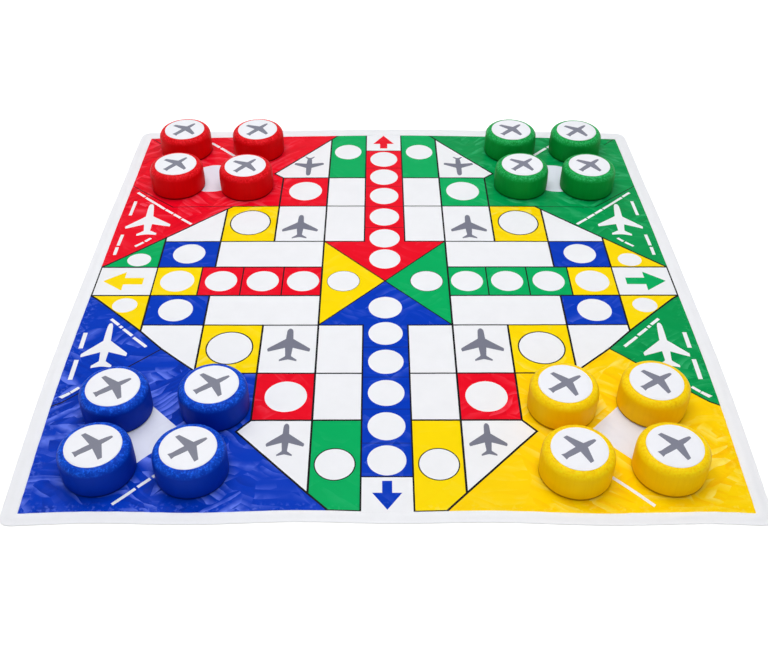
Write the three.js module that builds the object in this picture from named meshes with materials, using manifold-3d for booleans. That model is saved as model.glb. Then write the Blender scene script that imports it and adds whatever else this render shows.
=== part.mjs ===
// Floor mat for the aeroplane race game: a printed sheet on a backing sheet, bound along its four
// edges, with four foam playing pieces of each colour standing in the corner hangars.
// Millimetres, +Z up. The origin is the middle of the mat on the floor, +Y runs to the far edge.
import * as THREE from "three";
import { mergeVertices } from "three/addons/utils/BufferGeometryUtils.js";
import Module from "manifold-3d";

// Mat
const MAT_WIDTH = 1000;
const MAT_DEPTH = 1000;
const MAT_CORNER_RADIUS = 12;
const BORDER_WIDTH = 25;
const BACKING_THICKNESS = 0.8;
const SHEET_THICKNESS = 0.6;
const BINDING_THICKNESS = 0.6;
const CORNER_STEPS = 6;

// Foam pieces
const TOKEN_DIAMETER = 100;
const TOKEN_HEIGHT = 45.5;
const TOKEN_EDGE_RADIUS = 11;
const TOKEN_FOOT_RADIUS = 3;
const LABEL_RIM = 0.5;
const LABEL_THICKNESS = 1.5;
const ROUND_SEGMENTS = 28;
const EDGE_STEPS = 4;

// Hangars: the free space between two pieces, and from the outer pieces to the white border
const TOKEN_SPACING = 27;
const HANGAR_SIDE_MARGIN = 43.5;
const HANGAR_END_MARGIN = 10.5;

// Clearance between layers that lie on one another and between strips that meet
const LAY_GAP = 0.3;

// How far a cutting solid reaches past what it cuts
const CUT_REACH = 1;

// Heights of the layers
const SHEET_BOTTOM = BACKING_THICKNESS + LAY_GAP;
const SHEET_TOP = SHEET_BOTTOM + SHEET_THICKNESS;
const BINDING_TOP = SHEET_TOP + LAY_GAP + BINDING_THICKNESS;
const TOKEN_BOTTOM = SHEET_TOP + LAY_GAP;

// Each colour's hangar: its side of the mat and how far each piece was set down off the square of
// four, in the order outer far, inner far, outer near, inner near, as [towards the right, to the far edge]
const HANGARS = [
  {
    colour: "red",
    paint: "#e1000f",
    side: -1,
    end: 1,
    strays: [[-6.5, 2], [8.5, 2], [-4, 2], [-2, -3.5]],
  },
  {
    colour: "green",
    paint: "#00822d",
    side: 1,
    end: 1,
    strays: [[-6, -2.5], [-6, 1], [-1.5, -2], [1.5, 0.5]],
  },
  {
    colour: "blue",
    paint: "#0037d7",
    side: -1,
    end: -1,
    strays: [[-0.5, -9], [10, -4], [-4, 8.5], [-6, 5]],
  },
  {
    colour: "yellow",
    paint: "#facd00",
    side: 1,
    end: -1,
    strays: [[-1, 1], [-3.5, -3.5], [-3, 6.5], [-2.5, 2]],
  },
];

const WHITE_FABRIC = { color: "#f1f2f6", roughness: 0.5, metalness: 0 };
const WHITE_LABEL = { color: "#f4f5f8", roughness: 0.45, metalness: 0 };
const GREY_FELT = { color: "#d9dade", roughness: 0.9, metalness: 0 };

const wasm = await Module();
wasm.setup();

const game = new THREE.Group();

function addMesh(name, geometry, finish) {
  const mesh = new THREE.Mesh(geometry, new THREE.MeshStandardMaterial(finish));
  mesh.name = name;
  game.add(mesh);
  return mesh;
}

// A solid for cutting, from a closed geometry
function solidFrom(geometry) {
  const bare = geometry.clone();
  bare.deleteAttribute("normal");
  bare.deleteAttribute("uv");
  const merged = mergeVertices(bare);
  return new wasm.Manifold(
    new wasm.Mesh({
      numProp: 3,
      vertProperties: new Float32Array(merged.attributes.position.array),
      triVerts: new Uint32Array(merged.index.array),
    }),
  );
}

function geometryFrom(solid) {
  const cut = solid.getMesh();
  const geometry = new THREE.BufferGeometry();
  geometry.setAttribute("position", new THREE.BufferAttribute(cut.vertProperties, 3));
  geometry.setIndex(new THREE.BufferAttribute(cut.triVerts, 1));
  geometry.computeVertexNormals();
  return geometry;
}

// A level slab with the given plan between two heights
function slab(plan, bottom, top) {
  const geometry = new THREE.ExtrudeGeometry(plan, {
    depth: top - bottom,
    bevelEnabled: false,
    curveSegments: CORNER_STEPS,
  });
  return geometry.translate(0, 0, bottom);
}

// The mat's plan drawn in by an inset, with its corners rounded to match
function matPlan(inset) {
  const x = MAT_WIDTH / 2 - inset;
  const y = MAT_DEPTH / 2 - inset;
  const r = Math.max(MAT_CORNER_RADIUS - inset, 0);
  const plan = new THREE.Shape();
  plan.moveTo(-x + r, -y);
  plan.lineTo(x - r, -y);
  if (r > 0) plan.absarc(x - r, -y + r, r, -Math.PI / 2, 0, false);
  plan.lineTo(x, y - r);
  if (r > 0) plan.absarc(x - r, y - r, r, 0, Math.PI / 2, false);
  plan.lineTo(-x + r, y);
  if (r > 0) plan.absarc(-x + r, y - r, r, Math.PI / 2, Math.PI, false);
  plan.lineTo(-x, -y + r);
  if (r > 0) plan.absarc(-x + r, -y + r, r, Math.PI, 1.5 * Math.PI, false);
  return plan;
}

function addSheets() {
  const backing = slab(matPlan(BORDER_WIDTH + LAY_GAP), 0, BACKING_THICKNESS);
  addMesh("backing_sheet", backing, GREY_FELT);
  const printed = slab(matPlan(BINDING_THICKNESS + LAY_GAP), SHEET_BOTTOM, SHEET_TOP);
  addMesh("printed_sheet", printed, WHITE_FABRIC);
}

// The plan of one edge's share of the border, between the two mitred corners
function edgePlan(length, reach) {
  const outer = length / 2 - LAY_GAP;
  const inner = outer - BORDER_WIDTH;
  const plan = new THREE.Shape();
  plan.moveTo(-outer, -reach);
  plan.lineTo(outer, -reach);
  plan.lineTo(inner, -reach + BORDER_WIDTH);
  plan.lineTo(-inner, -reach + BORDER_WIDTH);
  return plan;
}

// Binding strips fold round the edge of the printed sheet and meet in mitres at the corners
function addBinding() {
  const whole = solidFrom(slab(matPlan(0), 0, BINDING_TOP));
  const slot = slab(matPlan(BINDING_THICKNESS), SHEET_BOTTOM - LAY_GAP, SHEET_TOP + LAY_GAP);
  const folded = whole.subtract(solidFrom(slot));
  const edges = [
    { name: "binding_front", length: MAT_WIDTH, reach: MAT_DEPTH / 2, turn: 0 },
    { name: "binding_right", length: MAT_DEPTH, reach: MAT_WIDTH / 2, turn: Math.PI / 2 },
    { name: "binding_back", length: MAT_WIDTH, reach: MAT_DEPTH / 2, turn: Math.PI },
    { name: "binding_left", length: MAT_DEPTH, reach: MAT_WIDTH / 2, turn: -Math.PI / 2 },
  ];
  for (const edge of edges) {
    const share = slab(edgePlan(edge.length, edge.reach), -CUT_REACH, BINDING_TOP + CUT_REACH);
    share.rotateZ(edge.turn);
    addMesh(edge.name, geometryFrom(folded.intersect(solidFrom(share))), WHITE_FABRIC);
  }
}

// Points of a quarter round about a centre, from one angle on by a right angle
function quarterRound(centreX, centreY, radius, startAngle) {
  const points = [];
  for (let step = 0; step <= EDGE_STEPS; step += 1) {
    const angle = startAngle + (step / EDGE_STEPS) * (Math.PI / 2);
    points.push(
      new THREE.Vector2(centreX + radius * Math.cos(angle), centreY + radius * Math.sin(angle)),
    );
  }
  return points;
}

// A round turned about the Z axis, from a profile that starts and ends on it
function turned(profile) {
  return new THREE.LatheGeometry(profile, ROUND_SEGMENTS).rotateX(Math.PI / 2);
}

function tokenGeometry() {
  const radius = TOKEN_DIAMETER / 2;
  const footX = radius - TOKEN_FOOT_RADIUS;
  const edgeX = radius - TOKEN_EDGE_RADIUS;
  return turned([
    new THREE.Vector2(0, 0),
    new THREE.Vector2(footX, 0),
    new THREE.Vector2(radius, TOKEN_FOOT_RADIUS),
    ...quarterRound(edgeX, TOKEN_HEIGHT - TOKEN_EDGE_RADIUS, TOKEN_EDGE_RADIUS, 0),
    new THREE.Vector2(0, TOKEN_HEIGHT),
  ]);
}

function labelGeometry() {
  const radius = TOKEN_DIAMETER / 2 - TOKEN_EDGE_RADIUS - LABEL_RIM;
  return turned([
    new THREE.Vector2(0, 0),
    new THREE.Vector2(radius, 0),
    new THREE.Vector2(radius, LABEL_THICKNESS),
    new THREE.Vector2(0, LABEL_THICKNESS),
  ]);
}

// Four pieces in a square in each corner hangar, each with its round label on top
function addTokens() {
  const pitch = TOKEN_DIAMETER + TOKEN_SPACING;
  const cluster = pitch / 2 + TOKEN_DIAMETER / 2;
  const hangarX = MAT_WIDTH / 2 - BORDER_WIDTH - HANGAR_SIDE_MARGIN - cluster;
  const hangarY = MAT_DEPTH / 2 - BORDER_WIDTH - HANGAR_END_MARGIN - cluster;
  const square = [[1, 1], [-1, 1], [1, -1], [-1, -1]];
  for (const hangar of HANGARS) {
    square.forEach(([outwards, far], index) => {
      const [strayX, strayY] = hangar.strays[index];
      const x = hangar.side * (hangarX + (outwards * pitch) / 2) + strayX;
      const y = hangar.end * hangarY + (far * pitch) / 2 + strayY;
      const number = index + 1;
      const foam = { color: hangar.paint, roughness: 0.6, metalness: 0 };
      const token = addMesh(`${hangar.colour}_token_${number}`, tokenGeometry(), foam);
      token.position.set(x, y, TOKEN_BOTTOM);
      const label = addMesh(`${hangar.colour}_label_${number}`, labelGeometry(), WHITE_LABEL);
      label.position.set(x, y, TOKEN_BOTTOM + TOKEN_HEIGHT + LAY_GAP);
    });
  }
}

addSheets();
addBinding();
addTokens();

export default game;
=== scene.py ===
import math

import bmesh
import bpy
from mathutils import Matrix, Vector, noise
from mathutils.geometry import delaunay_2d_cdt


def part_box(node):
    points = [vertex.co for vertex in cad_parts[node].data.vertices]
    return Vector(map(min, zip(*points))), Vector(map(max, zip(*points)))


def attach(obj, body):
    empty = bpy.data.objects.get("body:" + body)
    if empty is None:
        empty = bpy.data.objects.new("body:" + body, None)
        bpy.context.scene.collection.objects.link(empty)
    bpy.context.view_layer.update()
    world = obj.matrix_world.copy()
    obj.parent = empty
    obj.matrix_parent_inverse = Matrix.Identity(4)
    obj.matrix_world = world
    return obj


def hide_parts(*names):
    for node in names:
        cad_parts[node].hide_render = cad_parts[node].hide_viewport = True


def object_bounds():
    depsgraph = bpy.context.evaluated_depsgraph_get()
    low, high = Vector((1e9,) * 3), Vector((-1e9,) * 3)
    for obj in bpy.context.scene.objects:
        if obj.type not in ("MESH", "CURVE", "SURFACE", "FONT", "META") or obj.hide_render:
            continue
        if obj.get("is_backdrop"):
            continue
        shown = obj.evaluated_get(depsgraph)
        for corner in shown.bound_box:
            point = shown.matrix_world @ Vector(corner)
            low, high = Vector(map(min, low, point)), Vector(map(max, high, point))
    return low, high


# Looks of the aeroplane race mat: printed cloth with a folded white border and a felt lining, and
# sixteen foam pieces with printed labels standing in its corner hangars. The drawing is in
# millimetres on the flat cloth, and everything that is built is in metres in the CAD frame.

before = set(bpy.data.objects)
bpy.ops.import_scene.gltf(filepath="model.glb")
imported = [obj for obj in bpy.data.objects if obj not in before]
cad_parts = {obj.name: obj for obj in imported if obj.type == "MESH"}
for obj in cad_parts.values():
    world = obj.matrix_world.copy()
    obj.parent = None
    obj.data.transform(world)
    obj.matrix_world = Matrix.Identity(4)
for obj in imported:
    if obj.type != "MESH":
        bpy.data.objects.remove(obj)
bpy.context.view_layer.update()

MM = 0.001
COLOURS = ("red", "green", "blue", "yellow")
NUMBERS = (1, 2, 3, 4)

# Layers of the mat, in millimetres above the floor
LINING_BOTTOM = 0.1
LINING_TOP = 0.8
CLOTH_BOTTOM = 1.1
CLOTH_TOP = 1.7
BORDER_TOP = 2.6

# The border's upper leaf: how thick it is, and how far it and the cloth inside it are pressed down
# along the mat's edge
LEAF_THICKNESS = 0.35
LEAF_PRESS = 1.45
CLOTH_PRESS = 0.95

# Plan of the mat, in millimetres from its middle to its sides, its far and its near edge, and the
# same for the part of the print that the border leaves open
MAT_PLAN = (498.9, 500.0, 494.6)
PRINT_PLAN = (476.3, 472.5, 477.3)
BORDER_WIDTH = 24.0
MAT_CORNER = 16.0
CLOTH_INSET = 1.5
LINING_INSET = BORDER_WIDTH + 1.8
STITCH_INSET = BORDER_WIDTH - 2.6

# Spacing of points along the printed outlines and the cloth's edge, and inside the cloth: coarse in
# the course, and fine in the creased corners, which start this far from the middle
OUTLINE_SPACING = 12
EDGE_SPACING = 6
COURSE_SPACING = 7.1
CORNER_SPACING = 4.3
CORNER_START = 185

# How many points the printed circles and the labels have, and how many steps the turned foam
SPOT_POINTS = 48
LABEL_POINTS = 72
TOKEN_STEPS = 96

# How the lying cloth's edges depart from straight: bulges of the sides by height, middle and reach,
# and waves of the near and the far edge by height, shift and length
SIDE_BULGES = ((6.2, -255, 245), (-1.8, 310, 110))
NEAR_WAVE = (1.7, 185, 43)
FAR_WAVE = (1.5, 110, 95)

# Lines of the printed course, in millimetres from its middle: across the mat, then along it
LANE = 35.3
INNER = 105.5
MIDDLE = 192.5
OUTER = 286.0
FIELD = 382.5
EDGE = 476.5
UNDER_BORDER = 480.5
BAND_CELLS = (306.9, 237.4, 169.7)
BAND = 38.0
HEART = 111.5
SECOND_ROW = 220.9
THIRD_ROW = 316.5
FAR_END = 475.5
NEAR_END = 480.0
LANE_FAR_END = 415
LANE_NEAR_END = -420
LANE_CELLS = (351, 287, 220, 153, -163, -229, -295, -360)
FAR_CORNER_LINE = ((448.5, 447.5), (475.5, 474.5))
NEAR_EDGE_LINE = ((LANE, 476.2), (78, 476.2))

# Widths of the printed lines, and of the dashes beside the runways
BOLD = 3.1
ROW_LINE = 2.7
LANE_LINE = 2.5
BAND_LINE = 2.4
HEART_LINE = 2.2
FINE = 2.1
LANE_END_LINE = 1.8
START_LINE = 1.7
HANGAR_LINE = 1.4
LANE_CELL_LINE = 0.8
BROAD_DASH = 5.7
SLIM_DASH = 5.1
HANGAR_DASH = 4.8

# Half outlines of the printed aeroplanes: out from the centre line, and back from the nose
COURSE_PLANE = (
    (0, 0), (2.4, 1.2), (4.3, 4.4), (4.9, 8.5), (5.7, 24.3), (32.3, 46.2), (32.9, 49.5), (31.5, 53.6),
    (5.9, 44.9), (5.3, 53), (4.5, 61.5), (4.9, 64), (13.4, 71.6), (13.2, 75), (3.5, 71.9), (0, 71.1),
)
FAR_PLANE = (
    (0, 0), (2.4, 1), (4.2, 5), (4.8, 12), (5.2, 27.4), (28.2, 38.9), (28.8, 41.5), (27.2, 45.6),
    (5.3, 42.5), (4.7, 54), (3.9, 59.5), (9.4, 66.5), (8.2, 68.5), (2.5, 64.5), (0, 64),
)
RUNWAY_PLANE = (
    (0, 0), (2.1, 1), (3.3, 4), (4.1, 8), (4.9, 19), (5.8, 41.5), (34.6, 70.5), (35.1, 73),
    (34.3, 77.8), (6.3, 67.1), (5.3, 80.8), (5, 87.7), (15.4, 97), (15.2, 102), (4, 99.6), (0, 99.2),
)
LABEL_PLANE = (
    (0, 0), (1.5, 0.3), (2.3, 2.2), (3.3, 7.5), (4.3, 17.6), (26.6, 27), (26.8, 33), (4.8, 30.9),
    (4.6, 41), (4, 50), (5.4, 55.2), (0, 54.8),
)
LABEL_PLANE_NOSE = 28.0

# Which way the aeroplanes on each colour's labels point, in degrees from the near edge
LABEL_HEADING = {"red": 52, "green": 45, "blue": 36, "yellow": 33}

# Foam pieces, in millimetres: the belly is how far the side bulges, the shoulder where the rim starts
TOKEN_RADIUS = 49.4
TOKEN_HEIGHT = 45.5
TOKEN_BELLY = 0.4
TOKEN_FOOT_ROUND = 2.2
TOKEN_SHOULDER = 34.8
TOKEN_RIM_RISE = 12.0
LABEL_RADIUS = 37.8
LABEL_THICKNESS = 1.5

# The studio, in metres, and the strength of its sky
STUDIO_RADIUS = 12
BACKDROP_HEIGHT = 7
FLOOR_GAP = 0.0004
SKY_LIGHT = 0.3
PURE_WHITE = (1, 1, 1, 1)

# The camera: its place in metres, its turns in degrees and its lens in millimetres
CAMERA_PLACE = (-0.0123, -1.2634, 1.0022)
CAMERA_PITCH = 41.142
CAMERA_YAW = 0.497
CAMERA_ROLL = -0.270
CAMERA_LENS = 45.47
SENSOR_WIDTH = 36


def rgb(red, green, blue):
    """A colour written in the usual 0 to 255, as the linear colour that nodes take."""
    parts = []
    for part in (red, green, blue):
        share = part / 255
        parts.append(share / 12.92 if share <= 0.04045 else ((share + 0.055) / 1.055) ** 2.4)
    return (*parts, 1.0)


# Each ink: its colour, the paler one painted on crease facets as sheen, the deeper one painted
# beside that as crease shade, and how strongly it shows the folds of the cloth
INKS = {
    "white": (rgb(242, 243, 247), rgb(246, 247, 250), rgb(222, 223, 227), 0.1),
    # Shaded white: a darker white for the hangar patches, painted shade from the foam pieces around them
    "shaded white": (rgb(230, 233, 246), rgb(236, 238, 249), rgb(212, 214, 228), 0.1),
    "red": (rgb(238, 8, 36), rgb(250, 86, 106), rgb(216, 2, 30), 0.9),
    "blue": (rgb(0, 58, 190), rgb(98, 124, 236), rgb(0, 50, 172), 1.55),
    "green": (rgb(0, 173, 95), rgb(66, 196, 132), rgb(0, 156, 84), 0.95),
    # Shaded green: the green ink darker, painted shade on the right-hand corner fields
    "shaded green": (rgb(0, 153, 80), rgb(62, 184, 122), rgb(0, 136, 68), 0.95),
    "yellow": (rgb(255, 221, 0), rgb(255, 234, 104), rgb(254, 206, 0), 0.95),
    # Shaded yellow: the yellow ink darker, painted shade on the right-hand corner field
    "shaded yellow": (rgb(255, 213, 0), rgb(255, 232, 98), rgb(253, 197, 0), 0.95),
    "line": (rgb(26, 26, 30), rgb(60, 60, 66), rgb(24, 24, 28), 0.5),
    "grey": (rgb(122, 124, 140), rgb(140, 142, 158), rgb(112, 114, 130), 0.1),
}
INK_ORDER = tuple(INKS)

# Each foam: its colour, and those of the painted light on its rim and its light grains, which are
# partly painted glints, its dark pores, and the painted shade round its foot
FOAM = {
    "red": (rgb(218, 0, 8), rgb(248, 38, 50), rgb(172, 0, 6), rgb(72, 0, 2)),
    "green": (rgb(0, 148, 56), rgb(56, 190, 112), rgb(0, 106, 38), rgb(0, 46, 16)),
    "blue": (rgb(0, 50, 172), rgb(30, 108, 250), rgb(0, 54, 182), rgb(0, 14, 58)),
    "yellow": (rgb(255, 208, 0), rgb(255, 226, 26), rgb(236, 180, 0), rgb(132, 66, 0)),
}

# The drawing on the cloth, painted in order
drawing = []


def anticlockwise(points):
    """The outline the right way round, because a mirrored one runs the other way."""
    points = [Vector(point) for point in points]
    turns = sum(a.cross(b) for a, b in zip(points, points[1:] + points[:1]))
    return points if turns > 0 else points[::-1]


def divided(points, spacing):
    """The outline with more points along its long edges, so that it can follow the lying cloth."""
    closer = []
    for a, b in zip(points, points[1:] + points[:1]):
        steps = max(round((b - a).length / spacing), 1)
        closer += [a.lerp(b, step / steps) for step in range(steps)]
    return closer


def round_points(steps):
    """Points round a circle of radius 1."""
    angles = [2 * math.pi * step / steps for step in range(steps)]
    return [(math.cos(angle), math.sin(angle)) for angle in angles]


def fill(ink, *points):
    drawing.append((ink, divided(anticlockwise(points), OUTLINE_SPACING)))


def block(ink, left, right, low, high):
    fill(ink, (left, low), (right, low), (right, high), (left, high))


def spot(ink, x, y, width, height):
    circle = round_points(SPOT_POINTS)
    fill(ink, *[(x + width / 2 * across, y + height / 2 * along) for across, along in circle])


def ringed_spot(x, y, width, height, ring):
    spot("line", x, y, width + 2 * ring, height + 2 * ring)
    spot("white", x, y, width, height)


def stroke(ink, start, end, width, cap):
    """A straight printed line, drawn on past both ends by the cap."""
    start, end = Vector(start), Vector(end)
    along = (end - start).normalized()
    across = Vector((-along.y, along.x)) * width / 2
    start, end = start - along * cap, end + along * cap
    fill(ink, start - across, end - across, end + across, start + across)


def line(start, end, width=BOLD):
    stroke("line", start, end, width, width / 2)


def whole_outline(half):
    """The outline on both sides of its centre line."""
    return list(half) + [(-x, y) for x, y in reversed(half) if x > 0]


def aeroplane(ink, half, nose_x, nose_y, wide, long, lean):
    """An aeroplane with its nose at a point, its half outline stretched and then turned by lean."""
    turn = Matrix.Rotation(math.radians(lean), 2)
    nose = Vector((nose_x, nose_y))
    fill(ink, *[nose + turn @ Vector((x * wide, -y * long)) for x, y in whole_outline(half)])


def arrow(ink, axis, way, base, shaft, neck, head, tip):
    """An arrow along an axis of the mat: where its base, neck and tip lie, and half its shaft's and
    its head's width."""
    half = [(base, shaft), (neck, shaft), (neck, head), (tip, 0)]
    shape = [(out, -off) for out, off in half] + half[-2::-1]
    if axis == "x":
        fill(ink, *[(way * out, off) for out, off in shape])
    else:
        fill(ink, *[(off, way * out) for out, off in shape])


def crossing(points, x):
    """The point with that x on a line through points."""
    for a, b in zip(points, points[1:]):
        if min(a[0], b[0]) <= x <= max(a[0], b[0]):
            return (x, a[1] + (b[1] - a[1]) * (x - a[0]) / (b[0] - a[0]))


def beyond(points, x):
    """The points of a slanting line that lie further out than x."""
    return [point for point in points if point[0] > x]


def quarter_lines(far):
    """The points that the slanting lines of a far or near quarter run through."""
    if far:
        slant = [(EDGE, BAND), (276.5, SECOND_ROW)]
        start = [(387.0, SECOND_ROW - 1.0), (EDGE, 294.5)]
        tip, foot, base = (210.6, 332.0), (92.5, FAR_END), FAR_END
    else:
        slant = [(EDGE, BAND), (384.0, 125.0), (343.0, 167.5), (281.0, SECOND_ROW)]
        start = [(343.0, 167.5), (EDGE, 289.0)]
        tip, foot, base = (211.5, 338.0), (74.7, NEAR_END), NEAR_END
    knee = crossing([tip, foot], INNER)
    return {"slant": slant, "start": start, "tip": tip, "foot": foot, "base": base, "knee": knee}


def paint_quarter(side, end, hangar, start, wedge, stop, gate):
    """The coloured fields of one quarter of the course."""
    far = end > 0
    at = quarter_lines(far)
    slant, tip, foot, base = at["slant"], at["tip"], at["foot"], at["base"]
    bend, start_edge = at["start"]
    takeoff = slant if far else beyond(slant, bend[0])
    inner_corner = (MIDDLE, SECOND_ROW)

    def patch(ink, *points):
        fill(ink, *[(side * x, end * y) for x, y in points])

    def cell(ink, near_x, far_x, near_y, far_y):
        patch(ink, (near_x, near_y), (far_x, near_y), (far_x, far_y), (near_x, far_y))

    cell(hangar, EDGE - 1, UNDER_BORDER, start_edge[1], base)
    cell(start, EDGE - 1, UNDER_BORDER, BAND, start_edge[1])
    outer_edge = [start_edge, (EDGE, base), foot, tip]
    patch(hangar, *outer_edge, (MIDDLE, THIRD_ROW), inner_corner, slant[-1], bend)
    patch(start, *takeoff, bend, start_edge)
    patch(wedge, (FIELD, BAND), *beyond(slant, FIELD), crossing(slant, FIELD))
    cell("blue", OUTER, FIELD, BAND, HEART)
    patch("yellow", (MIDDLE, HEART), (OUTER, HEART), crossing(slant, OUTER), slant[-1], inner_corner)
    cell(stop, INNER, MIDDLE, SECOND_ROW, THIRD_ROW)
    patch(gate, (LANE, THIRD_ROW), (INNER, THIRD_ROW), at["knee"], foot, (LANE, base))


def rule_quarter(side, end):
    """The dark lines of one quarter of the course."""
    far = end > 0
    at = quarter_lines(far)
    slant, tip, foot = at["slant"], at["tip"], at["foot"]
    bend, start_edge = at["start"]

    def between(a, b, width=BOLD):
        line((side * a[0], end * a[1]), (side * b[0], end * b[1]), width)

    between((LANE, HEART), (LANE, at["base"] - BOLD), LANE_LINE)
    between((INNER, 0), at["knee"])
    between((MIDDLE, HEART), (MIDDLE, THIRD_ROW))
    between((OUTER, BAND), crossing(slant, OUTER))
    between((FIELD, BAND), crossing(slant, FIELD))
    between((INNER, BAND), (EDGE - BOLD, BAND))
    between((LANE, HEART), (FIELD, HEART), ROW_LINE)
    between((LANE, SECOND_ROW), slant[-1], ROW_LINE)
    between((LANE, THIRD_ROW), (MIDDLE, THIRD_ROW))
    for a, b in zip(slant, slant[1:]):
        between(a, b)
    between((MIDDLE, THIRD_ROW), tip)
    between(tip, foot)
    if far:
        between(slant[-1], bend, HANGAR_LINE)
        between(*FAR_CORNER_LINE, HANGAR_LINE)
        between(bend, start_edge, START_LINE)
    else:
        between(bend, start_edge, FINE)
        between(*NEAR_EDGE_LINE, FINE)


def mark_quarter(side, end):
    """The stopping circles, aeroplanes and runway dashes of one quarter of the course."""

    def dashes(width, *ends):
        for first, second in ends:
            stroke("white", (side * first[0], first[1]), (side * second[0], second[1]), width, 0)

    if end > 0:
        spot("white", side * 418, 59, 40, 36)
        spot("white", side * 335.5, 76, 55, 55)
        ringed_spot(side * 240, 169, 69, 73, FINE)
        spot("white", side * 147.5, 271, 61.5, 62)
        spot("white", side * 71, 410.5, 53, 54)
        aeroplane("grey", COURSE_PLANE, side * 150, 192.7, wide=0.97, long=0.965, lean=0)
        aeroplane("grey", FAR_PLANE, side * 146.3, 325, wide=1, long=1, lean=180)
        aeroplane("white", RUNWAY_PLANE, side * 427.5, 230.7, wide=1.13, long=0.98, lean=-side * 4.6)
        # Hangar patch in the shaded white, painted shade
        spot("shaded white", side * 326.5, 318, 94, 94)
        dashes(
            BROAD_DASH,
            ((458.7, 240), (459.7, 194)), ((461, 133), (462.3, 100.6)), ((462.7, 95.6), (463, 73)),
            ((350, 452), (331, 433)), ((328, 430.6), (276, 378)),
        )
        dashes(
            SLIM_DASH,
            ((460.7, 270), (445, 255.6)), ((442.7, 252.9), (400.7, 213.6)),
            ((398.8, 212), (383.5, 198.4)), ((381.4, 196.5), (367.3, 184)), ((365, 181.7), (345, 164.6)),
            ((432.7, 98), (420, 110)), ((417.7, 112.3), (409.3, 122.3)),
        )
    else:
        spot("white", side * 419, -63, 40, 36)
        spot("white", side * 335.5, -75, 55, 55)
        ringed_spot(side * 239.5, -164.5, 69, 71, FINE)
        spot("white", side * 146, -269.5, 61.5, 62)
        ringed_spot(side * 71, -398, 54, 54.5, FINE * 0.8)
        aeroplane("grey", COURSE_PLANE, side * 148.5, -119.6, wide=1, long=1, lean=0)
        aeroplane("grey", COURSE_PLANE, side * 141, -322.8, wide=0.81, long=0.81, lean=0)
        aeroplane("white", RUNWAY_PLANE, side * 431.8, -107.2, wide=1, long=1, lean=-side * 2.5)
        middle, level, reach = side * 340, -339, 55
        rhombus = ((-side * reach, 0), (0, -reach), (side * reach, 0), (0, reach))
        # The rhombus in the shaded white, painted shade
        fill("shaded white", *[(middle + x, level + y) for x, y in rhombus])
        if side > 0:
            dashes(HANGAR_DASH, ((350.2, -466.6), (286, -405)))
        else:
            dashes(
                HANGAR_DASH,
                ((360, -465), (334, -438.6)), ((331.6, -436), (317, -421.6)),
                ((314.6, -419), (300, -405)),
            )
        dashes(BROAD_DASH, ((466.5, -130), (466.5, -166)), ((466.5, -192), (466.5, -235)))
        dashes(
            SLIM_DASH,
            ((433.8, -97.2), (419, -111.5)), ((416.9, -114.3), (412.3, -118.6)),
            ((410, -121.2), (393.4, -137)), ((390.6, -140.8), (367.3, -162.6)),
            ((470.7, -271.7), (461, -262)), ((460.2, -261.2), (450, -251)),
        )


def draw_course():
    paint_quarter(-1, 1, hangar="red", start="red", wedge="green", stop="red", gate="green")
    # The right-hand corners take the shaded inks, painted shade
    paint_quarter(
        1, 1, hangar="shaded green", start="shaded green", wedge="yellow", stop="green", gate="green"
    )
    paint_quarter(-1, -1, hangar="blue", start="blue", wedge="yellow", stop="red", gate="green")
    paint_quarter(
        1, -1, hangar="shaded yellow", start="shaded green", wedge="yellow", stop="red", gate="yellow"
    )
    block("red", -LANE, LANE, HEART, LANE_FAR_END)
    block("blue", -LANE, LANE, LANE_NEAR_END, -HEART)
    first_cell, second_cell, third_cell = BAND_CELLS
    block("yellow", -FIELD, -first_cell, -BAND, BAND)
    block("yellow", first_cell, FIELD, -BAND, BAND)
    block("red", -first_cell, -INNER, -BAND, BAND)
    block("green", INNER, first_cell, -BAND, BAND)
    fill("red", (-INNER, HEART), (0, 0), (INNER, HEART))
    fill("yellow", (-INNER, -HEART), (0, 0), (-INNER, HEART))
    fill("green", (INNER, HEART), (0, 0), (INNER, -HEART))
    fill("blue", (INNER, -HEART), (0, 0), (-INNER, -HEART))
    band_lines = (
        (FIELD, BAND_LINE),
        (first_cell, BAND_LINE),
        (second_cell, FINE),
        (third_cell, FINE),
        (EDGE - 1, FINE),
    )
    for side in (-1, 1):
        for end in (-1, 1):
            rule_quarter(side, end)
        for x, width in band_lines:
            line((side * x, -BAND), (side * x, BAND), width)
    line((-INNER, -HEART), (INNER, HEART), HEART_LINE)
    line((-INNER, HEART), (INNER, -HEART), HEART_LINE)
    line((-LANE, LANE_FAR_END), (LANE, LANE_FAR_END), LANE_END_LINE)
    line((-LANE, LANE_NEAR_END), (LANE, LANE_NEAR_END), FINE)
    for y in LANE_CELLS:
        line((-LANE, y), (LANE, y), LANE_CELL_LINE)
    for y in (60.6, 120.6, 186, 254, 319, 383):
        spot("white", 0, y, 53, 54)
    for y in (-68.5, -131, -195.5, -262, -328, -391):
        spot("white", 0, y, 53.5, 53.5)
    for side in (-1, 1):
        ringed_spot(side * 69, 0, 53, 53, ring=0.9)
        spot("white", side * 344.3, 0, 56, 56)
        for x in (271.7, 202.7, 136):
            spot("white", side * x, 0, 53, 53.5)
        for end in (-1, 1):
            mark_quarter(side, end)
    arrow("red", "y", 1, base=424, shaft=7.3, neck=441.5, head=21, tip=472)
    arrow("blue", "y", -1, base=427, shaft=6.7, neck=447, head=20, tip=473.5)
    for ink, way in (("yellow", -1), ("green", 1)):
        arrow(ink, "x", way, base=400.7, shaft=8.7, neck=432.3, head=25, tip=466.7)


# How the cloth lies on the floor

token_spots = []
for colour in COLOURS:
    for number in NUMBERS:
        low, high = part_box(f"{colour}_token_{number}")
        token_spots.append((low + high).xy / 2 / MM)


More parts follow.
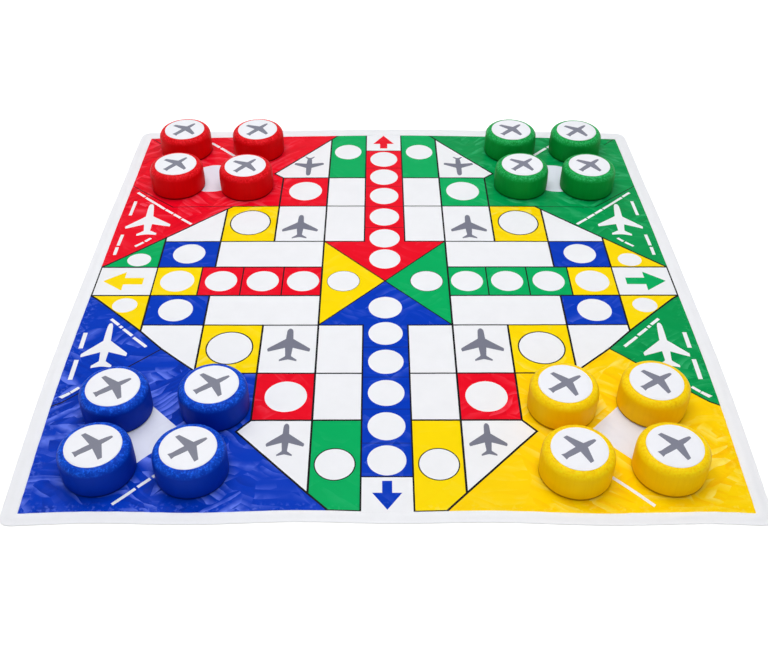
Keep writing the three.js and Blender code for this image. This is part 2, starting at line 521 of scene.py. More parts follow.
def smooth_step(low, high, value):
    """0 up to low, 1 from high on, and a smooth rise between."""
    share = min(max((value - low) / (high - low), 0), 1)
    return share * share * (3 - 2 * share)


def hump(place, height, middle, reach):
    return height * math.exp(-(((place - middle) / reach) ** 2))


def wave(place, height, shift, length):
    return height * math.sin((place + shift) / length)


def laid(x, y):
    """Where a point of the flat cloth lies: a little drawn in, its sides bulging and its ends wavy."""
    half = 475
    across, along = x / half, y / half
    bulge = sum(hump(y, *values) for values in SIDE_BULGES)
    bulge *= smooth_step(466, 478, abs(x)) * (1 if x > 0 else -1)
    near_wave = wave(x, *NEAR_WAVE) - 2.6 * smooth_step(40, 220, x) - smooth_step(420, 480, x)
    near_wave *= smooth_step(440, 478, -y)
    far_wave = wave(x, *FAR_WAVE) * smooth_step(440, 478, y)
    return (
        x * (1 - along**2 * (0.0137 + 0.0053 * along)) + bulge,
        y - across**2 * (5 * along + 7.5 * along**2) + near_wave + far_wave,
    )


def noise_at(x, y, size, layer):
    """A noise between -1 and 1 with forms of that size, another one in each layer."""
    return noise.noise((x / size, y / size, layer))


def ridge(x, y, size, layer, sharpness):
    """Narrow creases along the lines where a noise changes sign."""
    return (1 - min(abs(noise_at(x, y, size, layer)) * 2.2, 1)) ** sharpness


def rise(x, y):
    """How far the cloth stands up at a place on the floor: low swells everywhere, creases most in the
    near corners, and nothing under the foam pieces."""
    swell = 0.5 + 0.5 * noise_at(x, y, size=130, layer=4.2)
    bend = noise_at(x, y, size=70, layer=9.1) * 30
    crease = ridge(x + bend, y * 1.6 - x * 0.5 + bend, size=62, layer=1.7, sharpness=5)
    cross = ridge(x * 1.5 + y * 0.6, y + bend, size=48, layer=6.3, sharpness=6)
    near = smooth_step(60, 330, -y) * smooth_step(80, 300, abs(x))
    away = smooth_step(60, 330, y) * smooth_step(150, 330, abs(x))
    height = 0.55 * swell + (0.16 + 0.62 * near + 0.3 * away) * (crease + 0.8 * cross)
    clear = min((Vector((x, y)) - place).length for place in token_spots)
    return height * smooth_step(50, 80, clear)


# Pieces of the mat


def add_object(name, bm, materials):
    """A new object in the scene with a finished mesh and its materials."""
    mesh = bpy.data.meshes.new(name)
    bm.to_mesh(mesh)
    bm.free()
    for material in materials:
        mesh.materials.append(material)
    made = bpy.data.objects.new(name, mesh)
    bpy.context.scene.collection.objects.link(made)
    return made


def add_piece(name, bm, materials, body):
    """A smooth piece that moves with a body."""
    piece = add_object(name, bm, materials)
    piece.data.shade_smooth()
    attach(piece, body)
    return piece


def add_thickness(piece, name, thickness, offset):
    """A wall that grows from a thin piece to the side that the offset says."""
    wall = piece.modifiers.new(name, "SOLIDIFY")
    wall.thickness = thickness * MM
    wall.offset = offset
    return wall


def verts_of(parts):
    return [part for part in parts if isinstance(part, bmesh.types.BMVert)]


def edges_of(parts):
    return [part for part in parts if isinstance(part, bmesh.types.BMEdge)]


def plan_at(inset):
    """How far the mat reaches to its sides, its far and its near edge, drawn in by an inset."""
    return [outer + (inner - outer) * inset / BORDER_WIDTH for outer, inner in zip(MAT_PLAN, PRINT_PLAN)]


def fitted(point, inset):
    """A point of a square as wide as the mat's plan at an inset, moved to suit that plan's two ends."""
    side, far, near = plan_at(inset)
    return Vector((point.x, point.y * (far if point.y > 0 else near) / side))


def pressed(inset):
    """How far the folded edge is pressed flat at an inset from the mat's edge, up to 1."""
    return 1 - smooth_step(3, 16, inset)


def cloth_height(x, y):
    """Where a point of the flat cloth lies, with the height of its upper face."""
    side, far, near = MAT_PLAN
    flat = pressed(min(side - abs(x), (far if y > 0 else near) - abs(y)))
    x, y = laid(x, y)
    return x, y, CLOTH_TOP - CLOTH_PRESS * flat + (1 - flat) * rise(x, y)


def rounded_plan(half, corner, steps):
    """The outline of a square with rounded corners, anticlockwise."""
    points = []
    for quarter in range(4):
        centre = Matrix.Rotation(quarter * math.pi / 2, 2) @ Vector((half - corner, half - corner))
        for step in range(steps + 1):
            angle = (quarter + step / steps) * math.pi / 2
            points.append(centre + corner * Vector((math.cos(angle), math.sin(angle))))
    return points


def cut_out(outline, areas, loose_points):
    """Triangles inside an outline, split along the edges of inked areas, and the last area over each."""
    spots, loops = [], []
    for area in [outline] + [points for _, points in areas]:
        loops.append(list(range(len(spots), len(spots) + len(area))))
        spots += area
    spots += loose_points
    inside_only, closeness = 1, 0.002
    points, _, faces, _, _, areas_of_face = delaunay_2d_cdt(spots, [], loops, inside_only, closeness)
    inked = []
    for face, covering in zip(faces, areas_of_face):
        if 0 in covering:
            inked.append((face, max(covering)))
    return points, inked


def inked_mesh(points, inked, areas, order):
    """A flat bmesh of the cut triangles, each with the material of its ink."""
    bm = bmesh.new()
    corners = [bm.verts.new((*point, 0)) for point in points]
    for face, last in inked:
        made = bm.faces.new([corners[index] for index in face])
        made.material_index = order.index(areas[last - 1][0]) if last else 0
    bmesh.ops.delete(bm, geom=[v for v in bm.verts if not v.link_faces], context="VERTS")
    bmesh.ops.dissolve_degenerate(bm, dist=0.004, edges=bm.edges[:])
    return bm


def grid_points(half, spacing, keep):
    count = int(half / spacing)
    places = [index * spacing for index in range(-count, count + 1)]
    return [Vector((x, y)) for x in places for y in places if keep(x, y)]


def in_corner(x, y):
    return abs(x) > CORNER_START and abs(y) > CORNER_START


def in_course(x, y):
    return not in_corner(x, y)


def make_mat_print(materials):
    draw_course()
    reach = plan_at(CLOTH_INSET)
    square = rounded_plan(reach[0], MAT_CORNER - CLOTH_INSET, steps=5)
    outline = [fitted(point, CLOTH_INSET) for point in divided(square, EDGE_SPACING)]
    inside = min(reach) - 4
    loose = grid_points(inside, COURSE_SPACING, in_course)
    loose += grid_points(inside, CORNER_SPACING, in_corner)
    points, inked = cut_out(outline, drawing, loose)
    bm = inked_mesh(points, inked, drawing, INK_ORDER)
    for vert in bm.verts:
        vert.co = Vector(cloth_height(vert.co.x, vert.co.y)) * MM
    cloth = add_piece("mat_print", bm, materials, "mat")
    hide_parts("printed_sheet")
    wall = add_thickness(cloth, "cloth thickness", CLOTH_TOP - CLOTH_BOTTOM, -1)
    wall.material_offset = len(materials)
    return cloth


def upper_leaf(inset, height):
    """A step of the border's section on its upper leaf, which is pressed down towards the edge."""
    return inset, height - LEAF_PRESS * pressed(inset), 1 - pressed(inset)


def border_section():
    """The folded strip in section, over its upper leaf, round the edge, under its lower leaf and back
    inside the fold: inset from the edge, height, and how far it follows the swells of the cloth."""
    leaf_insets = (18.0, 16.0, 13.5, 11.0, 8.5, 6.0, 3.0)
    hem = [
        (BORDER_WIDTH, CLOTH_TOP + 0.15, 1),
        (BORDER_WIDTH, BORDER_TOP - 0.45, 1),
        (BORDER_WIDTH - 0.35, BORDER_TOP - 0.12, 1),
        (BORDER_WIDTH - 1.0, BORDER_TOP, 1),
    ]
    fold = [(1.6, 1.1, 0), (0.6, 0.98, 0), (0.1, 0.72, 0), (0.1, 0.4, 0), (0.6, 0.12, 0), (2.2, 0.02, 0)]
    foot = [(11.0, 0.0, 0), (BORDER_WIDTH, 0.0, 0), (BORDER_WIDTH, 0.6, 0)]
    lower_leaf = [(inset, 0.5 - 0.4 * pressed(inset), 0) for inset in leaf_insets[1:]]
    inner_fold = [(1.2, 0.2, 0), (0.9, 0.45, 0), (1.2, 0.72, 0)]
    over = [upper_leaf(inset, BORDER_TOP) for inset in leaf_insets]
    under = [upper_leaf(inset, BORDER_TOP - LEAF_THICKNESS) for inset in reversed(leaf_insets)]
    return hem + over + fold + foot + lower_leaf + inner_fold + under


def border_ring(core, direction, verts, inset, height, follow):
    """Moves a ring of the border to its inset from the mat's edge and its height, on the lying cloth."""
    corner = max(MAT_CORNER - inset, 0.6)
    side, far, near = plan_at(inset)
    for vert in verts:
        middle, out = vert[core], vert[direction]
        end = far if middle.y > 0 else near
        flat_x = middle.x * (side - corner) + out.x * corner
        flat_y = middle.y * (end - corner) + out.y * corner
        x, y = laid(flat_x, flat_y)
        vert.co = Vector((x, y, height + follow * rise(x, y))) * MM


def make_mat_border(material):
    bm = bmesh.new()
    half = MAT_PLAN[0]
    bmesh.ops.create_grid(bm, x_segments=1, y_segments=1, size=half)
    bmesh.ops.bevel(
        bm,
        geom=bm.verts[:],
        offset=MAT_CORNER,
        affect="VERTICES",
        segments=6,
        profile=0.5,
        material=-1,
    )
    bmesh.ops.delete(bm, geom=bm.faces[:], context="FACES_ONLY")
    long_edges = [edge for edge in bm.edges if edge.calc_length() > half]
    bmesh.ops.subdivide_edges(bm, edges=long_edges, cuts=149)
    core = bm.verts.layers.float_vector.new("core")
    direction = bm.verts.layers.float_vector.new("direction")
    reach = half - MAT_CORNER
    for vert in bm.verts:
        middle = Vector((min(max(vert.co.x, -reach), reach), min(max(vert.co.y, -reach), reach), 0))
        vert[core] = middle / reach
        vert[direction] = (vert.co - middle) / MAT_CORNER
    first_step, *other_steps = border_section()
    first_edges = edges = bm.edges[:]
    border_ring(core, direction, bm.verts[:], *first_step)
    for step in other_steps:
        made = bmesh.ops.extrude_edge_only(bm, edges=edges)["geom"]
        ring = verts_of(made)
        new = set(ring)
        edges = [edge for edge in edges_of(made) if new.issuperset(edge.verts)]
        border_ring(core, direction, ring, *step)
    bmesh.ops.bridge_loops(bm, edges=first_edges + edges)
    bmesh.ops.recalc_face_normals(bm, faces=bm.faces[:])
    border = add_piece("mat_border", bm, [material], "mat")
    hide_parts("binding_front", "binding_right", "binding_back", "binding_left")
    return border


def make_border_stitches(material):
    """A row of stitches that sews the folded border to the cloth, close to its inner edge."""
    bm = bmesh.new()
    row = plan_at(STITCH_INSET)[0]
    first, doublings = 7, 5
    pitch = 2 * row / (first * 2**doublings)
    length, wide, tall = 3.1, 0.55, 0.4
    stitch = Matrix.Rotation(math.radians(4), 4, "Z") @ Matrix.Diagonal((length, wide, tall, 1))
    for index in range(first):
        made = bmesh.ops.create_uvsphere(bm, u_segments=6, v_segments=4, radius=0.5)["verts"]
        place = Matrix.Translation((-row + (index + 0.5) * pitch, -row, BORDER_TOP + 0.02))
        bmesh.ops.transform(bm, matrix=place @ stitch, verts=made)
    for doubling in range(doublings):
        copied = bmesh.ops.duplicate(bm, geom=bm.verts[:] + bm.edges[:] + bm.faces[:])["geom"]
        bmesh.ops.translate(bm, vec=(first * 2**doubling * pitch, 0, 0), verts=verts_of(copied))
    bmesh.ops.spin(
        bm,
        geom=bm.verts[:] + bm.edges[:] + bm.faces[:],
        cent=(0, 0, 0),
        axis=(0, 0, 1),
        angle=1.5 * math.pi,
        steps=3,
        use_duplicate=True,
    )
    for vert in bm.verts:
        x, y = laid(*fitted(vert.co, STITCH_INSET))
        vert.co = Vector((x, y, vert.co.z + rise(x, y))) * MM
    return add_piece("border_stitches", bm, [material], "mat")


def make_mat_lining(material):
    bm = bmesh.new()
    bmesh.ops.create_grid(bm, x_segments=40, y_segments=40, size=plan_at(LINING_INSET)[0])
    for vert in bm.verts:
        x, y = laid(*fitted(vert.co, LINING_INSET))
        vert.co = Vector((x, y, LINING_BOTTOM)) * MM
    lining = add_piece("mat_lining", bm, [material], "mat")
    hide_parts("backing_sheet")
    add_thickness(lining, "felt thickness", LINING_TOP - LINING_BOTTOM, 1)
    return lining


# Foam pieces


def token_profile():
    """Half of a foam piece in section, from the middle of its foot round to that of its label's seat."""
    side = TOKEN_RADIUS - TOKEN_BELLY
    foot = side - TOKEN_FOOT_ROUND
    points = [(0, 0), (30, 0), (foot, 0)]
    for step in range(1, 6):
        angle = -math.pi / 2 + step / 5 * math.pi / 2
        out, up = math.cos(angle), 1 + math.sin(angle)
        points.append((foot + TOKEN_FOOT_ROUND * out, TOKEN_FOOT_ROUND * up))
    for step in range(1, 10):
        share = step / 10
        up = TOKEN_FOOT_ROUND + share * (TOKEN_SHOULDER - TOKEN_FOOT_ROUND)
        points.append((side + TOKEN_BELLY * math.sin(share * math.pi), up))
    lip = LABEL_RADIUS + 0.9
    for step in range(0, 15):
        angle = step / 14 * math.pi / 2
        up = TOKEN_SHOULDER + TOKEN_RIM_RISE * math.sin(angle)
        points.append((lip + (side - lip) * math.cos(angle), up))
    top = TOKEN_SHOULDER + TOKEN_RIM_RISE
    seat = TOKEN_HEIGHT - 0.1
    points += [(lip - 0.55, top - 0.02), (lip - 0.8, top - 0.2)]
    return points + [(lip - 0.8, seat), (25, seat), (0, seat)]


def foam_lump(place):
    """How far moulded foam stands out at a place: broad lumps and small ones, sunk on the whole."""
    return 0.28 * noise.noise(place / 16) + 0.1 * noise.noise(place / 5.5) - 0.12


def make_token(colour, number, material):
    low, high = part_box(f"{colour}_token_{number}")
    middle = (low + high) / 2
    bm = bmesh.new()
    verts = [bm.verts.new((x * MM, 0, z * MM)) for x, z in token_profile()]
    edges = [bm.edges.new(pair) for pair in zip(verts, verts[1:])]
    bmesh.ops.spin(
        bm,
        geom=verts + edges,
        cent=(0, 0, 0),
        axis=(0, 0, 1),
        angle=2 * math.pi,
        steps=TOKEN_STEPS,
        use_merge=True,
    )
    bmesh.ops.remove_doubles(bm, verts=bm.verts[:], dist=1e-6)
    bmesh.ops.recalc_face_normals(bm, faces=bm.faces[:])
    bm.normal_update()
    shift = Vector((middle.x, middle.y, low.z))
    for vert in bm.verts:
        lump = foam_lump((vert.co + shift) / MM)
        uneven = smooth_step(0.5, 6, vert.co.z / MM)
        uneven *= smooth_step(LABEL_RADIUS + 0.8, 42, vert.co.xy.length / MM)
        vert.co += vert.normal * lump * uneven * MM
    bmesh.ops.translate(bm, vec=shift, verts=bm.verts[:])
    body, slot = f"{colour}_piece_{number}", f"{colour}_foam"
    token = add_piece(f"{colour}_foam_{number}", bm, [material], body)
    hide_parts(f"{colour}_token_{number}")


def make_label(colour, number, white, grey):
    low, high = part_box(f"{colour}_label_{number}")
    middle = (low + high) / 2
    turn = Matrix.Rotation(math.radians(LABEL_HEADING[colour] - 90), 2)
    plane = [turn @ Vector((x, LABEL_PLANE_NOSE - y)) for x, y in whole_outline(LABEL_PLANE)]
    areas = [("grey", anticlockwise(plane))]
    outline = [Vector(point) * (LABEL_RADIUS - 0.3) for point in round_points(LABEL_POINTS)]
    spacing = 6
    loose = grid_points(LABEL_RADIUS, spacing, lambda x, y: math.hypot(x, y) < LABEL_RADIUS - 4)
    points, inked = cut_out(outline, areas, loose)
    bm = inked_mesh(points, inked, areas, ("white", "grey"))
    top = high.z / MM
    for vert in bm.verts:
        vert.co.z = top - 0.1 * (vert.co.xy.length / LABEL_RADIUS) ** 4
    rim = [edge for edge in bm.edges if edge.is_boundary]
    rim_steps = (
        (LABEL_RADIUS - 0.08, top - 0.18),
        (LABEL_RADIUS, top - 0.4),
        (LABEL_RADIUS, top - LABEL_THICKNESS),
    )
    for radius, height in rim_steps:
        made = bmesh.ops.extrude_edge_only(bm, edges=rim)["geom"]
        rim = [edge for edge in edges_of(made) if edge.is_boundary]
        for vert in verts_of(made):
            vert.co = (*(vert.co.xy.normalized() * radius), height)
    bmesh.ops.edgeloop_fill(bm, edges=rim)
    bmesh.ops.recalc_face_normals(bm, faces=bm.faces[:])
    bmesh.ops.scale(bm, vec=(MM, MM, MM), verts=bm.verts[:])
    bmesh.ops.translate(bm, vec=(middle.x, middle.y, 0), verts=bm.verts[:])
    body = f"{colour}_piece_{number}"
    label = add_piece(f"{colour}_disc_{number}", bm, [white, grey], body)
    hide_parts(f"{colour}_label_{number}")


# Materials


def feed(tree, socket, value):
    """Links a socket to the output that it takes its value from, or sets it."""
    if isinstance(value, bpy.types.NodeSocket):
        tree.links.new(value, socket)
    else:
        socket.default_value = value


def feed_named(tree, sockets, inputs):
    for name, value in inputs.items():
        feed(tree, sockets[name.replace("_", " ")], value)


def node(tree, kind, settings=None, values=(), **inputs):
    """A shader node with its settings, its first inputs in order and others by name, linked or set."""
    made = tree.nodes.new("ShaderNode" + kind)
    for name, value in (settings or {}).items():
        setattr(made, name, value)
    for index, value in enumerate(values):
        feed(tree, made.inputs[index], value)
    feed_named(tree, made.inputs, inputs)
    return made


def maths(tree, operation, *values):
    return node(tree, "Math", {"operation": operation}, values).outputs[0]


def multiply(tree, first, second):
    return maths(tree, "MULTIPLY", first, second)


def vector_maths(tree, operation, *values):
    return node(tree, "VectorMath", {"operation": operation}, values).outputs[0]


def spread(tree, value, low, high, to_low=0, to_high=1):
    """The value moved from one range to another, and kept inside that."""
    return node(tree, "MapRange", {"clamp": True}, (value, low, high, to_low, to_high)).outputs[0]


def choose(tree, share, first, second):
    """The first value where the share is 0, and the second where it is 1."""
    return maths(tree, "MULTIPLY_ADD", maths(tree, "SUBTRACT", second, first), share, first)


def blend(tree, share, first, second):
    """The first colour where the share is 0, and the second where it is 1."""
    return node(tree, "MixRGB", {"blend_type": "MIX"}, (share, first, second)).outputs[0]


def bump(tree, height):
    return node(tree, "Bump", Strength=1.0, Distance=MM, Height=height).outputs["Normal"]


def object_place(tree):
    return node(tree, "TexCoord").outputs["Object"]


def clouds(tree, place, scale, detail=2.0, roughness=0.5):
    """A soft noise about 0.5, finer where the scale is higher."""
    made = node(tree, "TexNoise", Vector=place, Scale=scale, Detail=detail, Roughness=roughness)
    return made.outputs["Fac"]


def start_group(name, inputs, outputs):
    """A shader node group with its inputs, each a number or a colour, and its outputs."""
    group = bpy.data.node_groups.new(name, "ShaderNodeTree")
    for label, value in inputs.items():
        kind = "NodeSocketFloat" if isinstance(value, float) else "NodeSocketColor"
        group.interface.new_socket(label, in_out="INPUT", socket_type=kind).default_value = value
    for label in outputs:
        kind = "NodeSocketColor" if label == "Color" else "NodeSocketFloat"
        group.interface.new_socket(label, in_out="OUTPUT", socket_type=kind)
    return group, group.nodes.new("NodeGroupInput").outputs, group.nodes.new("NodeGroupOutput").inputs


def place_group(tree, group, **inputs):
    return node(tree, "Group", {"node_tree": group}, **inputs).outputs


def facets(group, place, angle, long, wide):
    """Long flat facets lying at an angle: a chance value for each, and how far across it a place lies,
    from one side or the other."""
    turned = node(
        group,
        "Mapping",
        {"vector_type": "TEXTURE"},
        (place,),
        Rotation=(0, 0, math.radians(angle)),
        Scale=(long, wide, 1),
    ).outputs[0]
    cells = node(group, "TexVoronoi", {"voronoi_dimensions": "2D"}, Vector=turned, Scale=1.0).outputs
    chance = node(group, "SeparateColor", None, (cells["Color"],)).outputs
    offset = vector_maths(group, "SUBTRACT", turned, cells["Position"])
    across = node(group, "SeparateXYZ", None, (offset,)).outputs["Y"]
    turn_over = spread(group, chance[1], 0.49, 0.51)
    slope = maths(group, "SUBTRACT", spread(group, across, -0.55, 0.55), turn_over)
    return chance[0], maths(group, "ABSOLUTE", slope)


def crinkle_group():
    """Coated cloth that was folded and spread out again: its height in millimetres, the painted sheen
    on its pale facets and the painted shade on its dark facets."""
    group, given, out = start_group("cloth crinkle", {"Folds": 1.0}, ("Height", "Painted sheen", "Dark"))
    place = object_place(group)
    drift = node(group, "TexNoise", Vector=place, Scale=9.0, Detail=2.0).outputs
    warped = vector_maths(group, "MULTIPLY_ADD", drift["Color"], (0.05, 0.05, 0), place)

    # Facets in three directions, each in regions of its own
    rising, rising_slope = facets(group, warped, angle=40, long=0.046, wide=0.0098)
    falling, falling_slope = facets(group, warped, angle=-38, long=0.05, wide=0.0105)
    level, level_slope = facets(group, warped, angle=-4, long=0.052, wide=0.0098)
    region = clouds(group, place, scale=9.0, detail=1.0)
    first, second = spread(group, region, 0.45, 0.46), spread(group, region, 0.55, 0.56)
    chance = choose(group, second, choose(group, first, level, falling), rising)
    slope = choose(group, second, choose(group, first, level_slope, falling_slope), rising_slope)

    # Folds are strongest in patches and in the corners of the mat
    sides = vector_maths(group, "ABSOLUTE", place)
    away = node(group, "SeparateXYZ", None, (sides,)).outputs
    corner = multiply(group, spread(group, away["X"], 0.12, 0.26), spread(group, away["Y"], 0.1, 0.24))
    amount = multiply(group, given["Folds"], spread(group, drift["Fac"], 0.38, 0.58, 0.35, 1.2))
    amount = multiply(group, amount, spread(group, corner, 0, 1, 0.16, 1.0))
    patchy_sheen = spread(group, clouds(group, place, scale=60.0), 0.36, 0.56, 0.45, 1.15)
    # Pale is painted sheen on some facets, in patches, and dark is painted shade on others
    pale = multiply(group, spread(group, chance, 0.52, 0.74), maths(group, "POWER", slope, 1.3))
    pale = multiply(group, multiply(group, pale, patchy_sheen), amount)
    dark = multiply(group, multiply(group, spread(group, chance, 0.45, 0.2), slope), amount)

    # Small puckers beside the border, where the cloth is sewn, with painted sheen on their pale spots
    puckers = clouds(group, place, scale=170.0)
    outermost = maths(group, "MAXIMUM", away["X"], away["Y"])
    sewn = multiply(group, spread(group, outermost, 0.46, 0.476), given["Folds"])
    pucker_sheen = multiply(group, spread(group, puckers, 0.54, 0.68, 0, 0.42), sewn)
    pucker_height = maths(group, "MULTIPLY_ADD", sewn, 0.9, 0.12)
    swells = clouds(group, warped, scale=32.0, detail=3.0, roughness=0.55)
    swells = multiply(group, swells, multiply(group, amount, 2.2))
    group.links.new(maths(group, "MULTIPLY_ADD", puckers, pucker_height, swells), out["Height"])
    group.links.new(maths(group, "MAXIMUM", pale, pucker_sheen), out["Painted sheen"])
    group.links.new(dark, out["Dark"])
    return group


def weave_group():
    """Crossing threads of plain woven cloth, as a height in millimetres."""
    group, given, out = start_group("plain weave", {"Threads": 450.0, "Depth": 0.02}, ("Height",))
    place = object_place(group)
    threads = []
    for direction in ("X", "Y"):
        settings = {"wave_type": "BANDS", "bands_direction": direction}
        waves = node(group, "TexWave", settings, Vector=place, Scale=given["Threads"])
        threads.append(waves.outputs["Fac"])
    group.links.new(multiply(group, maths(group, "MAXIMUM", *threads), given["Depth"]), out["Height"])
    return group


def tone_group():
    """Slightly uneven ink or dye over the surface."""
    group, given, out = start_group(
        "uneven tone", {"Color": PURE_WHITE, "Size": 20.0, "Amount": 0.06}, ("Color",)
    )
    cloudy = clouds(group, object_place(group), scale=given["Size"], detail=4.0, roughness=0.6)
    offset = maths(group, "SUBTRACT", cloudy, 0.5)
    value = maths(group, "MULTIPLY_ADD", offset, given["Amount"], 1.0)
    toned = node(group, "HueSaturation", Value=value, Color=given["Color"])
    group.links.new(toned.outputs["Color"], out["Color"])
    return group


def foam_group():
    """The skin of moulded foam: grainy on the rounded rim, with painted light over the rim, smooth and
    faintly streaked on the side, with painted shade round the foot and darker towards the bottom."""
    group, _, out = start_group("foam skin", {}, ("Height", "Light", "Dark", "Foot shade"))
    place = object_place(group)
    up = node(group, "SeparateXYZ", None, (place,)).outputs["Z"]
    rim = spread(group, up, 39.5 * MM, 45.5 * MM)
    side = maths(group, "SUBTRACT", 1.0, rim)
    grains = clouds(group, place, scale=320.0, roughness=0.6)
    patchy = clouds(group, place, scale=120.0)
    drawn = node(group, "Mapping", {"vector_type": "TEXTURE"}, (place,), Scale=(0.003, 0.003, 0.06))
    streaky = clouds(group, drawn.outputs[0], scale=1.0)
    grain_height = multiply(group, multiply(group, spread(group, grains, 0.34, 0.66), 0.22), rim)
    # Light: light grains, partly painted glints, and painted light over the whole rim
    light_grains = spread(group, grains, 0.5, 0.66, 0, 0.62)
    painted_rim_light = spread(group, patchy, 0.4, 0.62, 0.12, 0.36)
    pores = multiply(group, spread(group, grains, 0.44, 0.32, 0, 0.5), rim)
    streaks = multiply(group, spread(group, streaky, 0.42, 0.64, 0, 0.12), side)
    # Painted shade: a dark band just above the foot for its contact shadow, and the side a little darker
    # towards the bottom
    painted_foot_shadow = spread(group, up, 3.4 * MM, 6.6 * MM, 0.92, 0)
    painted_low_shade = spread(group, up, 4 * MM, 20 * MM, 0.1, 0)
    group.links.new(maths(group, "MULTIPLY_ADD", patchy, 0.12, grain_height), out["Height"])
    group.links.new(multiply(group, maths(group, "ADD", light_grains, painted_rim_light), rim), out["Light"])
    group.links.new(maths(group, "ADD", pores, streaks), out["Dark"])
    group.links.new(maths(group, "MAXIMUM", painted_foot_shadow, painted_low_shade), out["Foot shade"])
    return group


def start_material(name):
    material = bpy.data.materials.new(name)
    material.use_nodes = True
    return material, material.node_tree


def set_shader(tree, **inputs):
    feed_named(tree, tree.nodes["Principled BSDF"].inputs, inputs)


def printed_cloth(name, colour, pale, deep, folds, tone, groups):
    material, tree = start_material(name)
    crinkle = place_group(tree, groups["crinkle"], Folds=folds)
    weave = place_group(tree, groups["weave"], Threads=450.0, Depth=0.008)
    toned = place_group(tree, groups["tone"], Color=colour, Size=26.0, Amount=tone)
    # Painted shade of the creases in the deeper colour, and painted sheen in the paler one
    creased = blend(tree, crinkle["Dark"], toned["Color"], deep)
    set_shader(
        tree,
        Base_Color=blend(tree, multiply(tree, crinkle["Painted sheen"], 0.9), creased, pale),
        Roughness=spread(tree, crinkle["Painted sheen"], 0, 1, 0.32, 0.24),
        Specular_IOR_Level=0.055,
        Normal=bump(tree, maths(tree, "ADD", crinkle["Height"], weave["Height"])),
    )
    return material


def plain_cloth(name, colour, groups, threads, depth, folds, roughness):
    material, tree = start_material(name)
    crinkle = place_group(tree, groups["crinkle"], Folds=folds)
    weave = place_group(tree, groups["weave"], Threads=threads, Depth=depth)
    set_shader(
        tree,
        Base_Color=place_group(tree, groups["tone"], Color=colour, Size=40.0, Amount=0.05)["Color"],
        Roughness=roughness,
        Specular_IOR_Level=0.1,
        Normal=bump(tree, maths(tree, "ADD", crinkle["Height"], weave["Height"])),
    )
    return material


def foam_skin(name, colour, light, dark, foot_shade, groups):
    material, tree = start_material(name)
    skin = place_group(tree, groups["foam"])
    toned = place_group(tree, groups["tone"], Color=colour, Size=60.0, Amount=0.08)
    # Painted light on the rim here, and painted shade round the foot in the base colour below
    speckled = blend(tree, skin["Light"], toned["Color"], light)
    speckled = blend(tree, skin["Dark"], speckled, dark)
    set_shader(
        tree,
        Base_Color=blend(tree, skin["Foot shade"], speckled, foot_shade),
        Roughness=spread(tree, skin["Light"], 0, 1, 0.5, 0.36),
        Specular_IOR_Level=0.07,
        Normal=bump(tree, skin["Height"]),
    )
    return material


def label_face(name, colour, groups):
    material, tree = start_material(name)
    weave = place_group(tree, groups["weave"], Threads=600.0, Depth=0.006)
    set_shader(
        tree,
        Base_Color=place_group(tree, groups["tone"], Color=colour, Size=90.0, Amount=0.05)["Color"],
        Roughness=0.45,
        Specular_IOR_Level=0.25,
        Normal=bump(tree, weave["Height"]),
    )
    return material


def make_object():
    groups = {
        "crinkle": crinkle_group(),
        "weave": weave_group(),
        "tone": tone_group(),
        "foam": foam_group(),
    }
    inks = []
    for ink in INK_ORDER:
        tone = 0.0 if ink == "line" else 0.08
        inks.append(printed_cloth(f"{ink} print", *INKS[ink], tone, groups))
    underside = plain_cloth(
        "cloth underside", rgb(226, 227, 230), groups,
        threads=450.0, depth=0.02, folds=0.3, roughness=0.6,
    )
    border_cloth = plain_cloth(
        "white border cloth", rgb(243, 244, 248), groups,
        threads=380.0, depth=0.02, folds=0.2, roughness=0.5,
    )
    thread = plain_cloth(
        "sewing thread", rgb(236, 237, 240), groups,
        threads=900.0, depth=0.02, folds=0.0, roughness=0.6,
    )
    felt = plain_cloth(
        "felt lining", rgb(216, 217, 221), groups,
        threads=300.0, depth=0.03, folds=0.1, roughness=0.9,
    )
    cloth = make_mat_print(inks + [underside])
    border = make_mat_border(border_cloth)
    stitches = make_border_stitches(thread)
    lining = make_mat_lining(felt)
    label_white = label_face("label white", rgb(243, 244, 250), groups)
    label_grey = label_face("label grey", rgb(126, 128, 144), groups)
    for colour in COLOURS:
        foam = foam_skin(f"{colour} foam", *FOAM[colour], groups)
        for number in NUMBERS:
            make_token(colour, number, foam)
            make_label(colour, number, label_white, label_grey)


# Floor, light and camera


def seen_directly(tree):
    """1 for what the camera sees, itself or in gloss and glass, and 0 for light on the object."""
    rays = node(tree, "LightPath").outputs
    seen = maths(tree, "MAXIMUM", rays["Is Camera Ray"], rays["Is Glossy Ray"])
    return maths(tree, "MAXIMUM", seen, rays["Is Transmission Ray"])


def add_stage(name, bm, material):
    add_object(name, bm, [material])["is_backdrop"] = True


def make_floor():
    """A pale floor, which turns white to the camera further from the mat."""
    bm = bmesh.new()
    bmesh.ops.create_grid(bm, x_segments=1, y_segments=1, size=STUDIO_RADIUS)
    bmesh.ops.translate(bm, vec=(0, 0, -FLOOR_GAP), verts=bm.verts[:])
    material, tree = start_material("white studio floor")
    away = node(tree, "VectorMath", {"operation": "LENGTH"}, (object_place(tree),)).outputs["Value"]
    whiter = spread(tree, away, 1.0, 2.4, 0.35, 1.0)
    set_shader(
        tree,
        Base_Color=(0.9, 0.9, 0.9, 1),
        Roughness=1.0,
        Specular_IOR_Level=0.0,
        Emission_Color=PURE_WHITE,
        Emission_Strength=multiply(tree, seen_directly(tree), whiter),
    )
    add_stage("floor", bm, material)


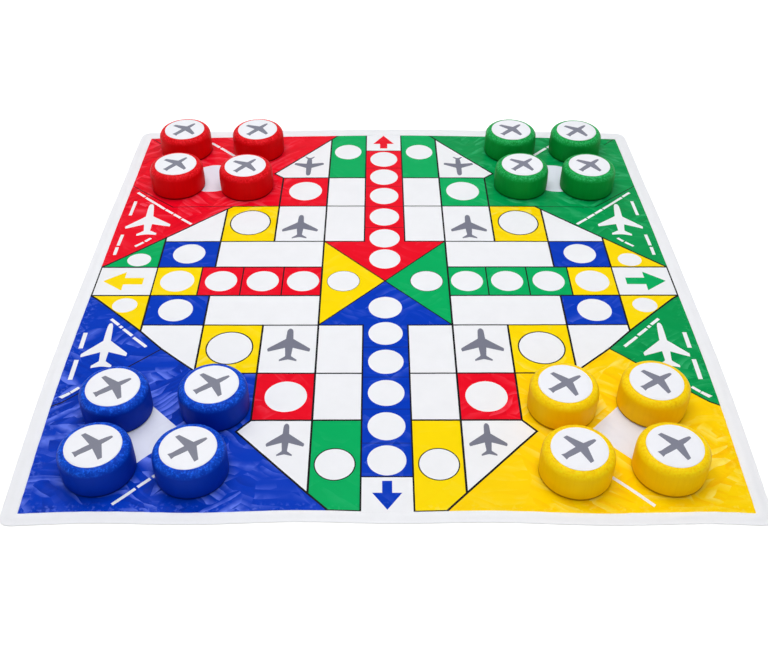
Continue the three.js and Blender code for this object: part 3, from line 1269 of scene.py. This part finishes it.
def make_backdrop():
    """A white wall round the floor, which gives the same low light as the sky above it."""
    bm = bmesh.new()
    bmesh.ops.create_circle(bm, cap_ends=False, segments=64, radius=STUDIO_RADIUS - 0.5)
    walls = bmesh.ops.extrude_edge_only(bm, edges=bm.edges[:])["geom"]
    bmesh.ops.translate(bm, vec=(0, 0, BACKDROP_HEIGHT), verts=verts_of(walls))
    material, tree = start_material("white backdrop")
    set_shader(
        tree,
        Base_Color=(0, 0, 0, 1),
        Specular_IOR_Level=0.0,
        Emission_Color=PURE_WHITE,
        Emission_Strength=spread(tree, seen_directly(tree), 0, 1, SKY_LIGHT, 1.0),
    )
    add_stage("backdrop", bm, material)


def make_softbox(name, size, power, place):
    """A square lamp that faces the middle of the mat."""
    softbox = bpy.data.lights.new(name, "AREA")
    softbox.shape = "SQUARE"
    softbox.size = size
    softbox.energy = power
    lamp = bpy.data.objects.new(name, softbox)
    bpy.context.scene.collection.objects.link(lamp)
    lamp.location = place
    lamp.rotation_euler = (-Vector(place)).to_track_quat("-Z", "Y").to_euler()


def make_light():
    world = bpy.data.worlds.new("studio")
    bpy.context.scene.world = world
    world.use_nodes = True
    background = world.node_tree.nodes["Background"].inputs
    background["Color"].default_value = PURE_WHITE
    background["Strength"].default_value = SKY_LIGHT
    make_softbox("overhead softbox", size=2.0, power=41, place=(0, 0.1, 2.4))
    make_softbox("front softbox", size=2.2, power=10, place=(0.3, -2.6, 1.9))
    make_softbox("back softbox", size=0.9, power=10, place=(-1.2, 1.2, 2.9))


def make_camera():
    pitch, yaw, roll = [math.radians(turn) for turn in (CAMERA_PITCH, CAMERA_YAW, CAMERA_ROLL)]
    ahead = Vector((math.sin(yaw) * math.cos(pitch), math.cos(yaw) * math.cos(pitch), -math.sin(pitch)))
    level = Vector((math.cos(yaw), -math.sin(yaw), 0))
    below = ahead.cross(level)
    right = math.cos(roll) * level + math.sin(roll) * below
    down = -math.sin(roll) * level + math.cos(roll) * below
    lens = bpy.data.cameras.new("camera")
    lens.sensor_width = SENSOR_WIDTH
    lens.sensor_fit = "HORIZONTAL"
    lens.lens = CAMERA_LENS
    camera = bpy.data.objects.new("camera", lens)
    bpy.context.scene.collection.objects.link(camera)
    turned = Matrix((right, -down, -ahead)).transposed().to_4x4()
    camera.matrix_world = Matrix.Translation(CAMERA_PLACE) @ turned
    bpy.context.scene.camera = camera


make_object()
make_floor()
make_backdrop()
make_light()
make_camera()
bpy.context.scene.view_settings.view_transform = "Standard"

low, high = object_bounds()
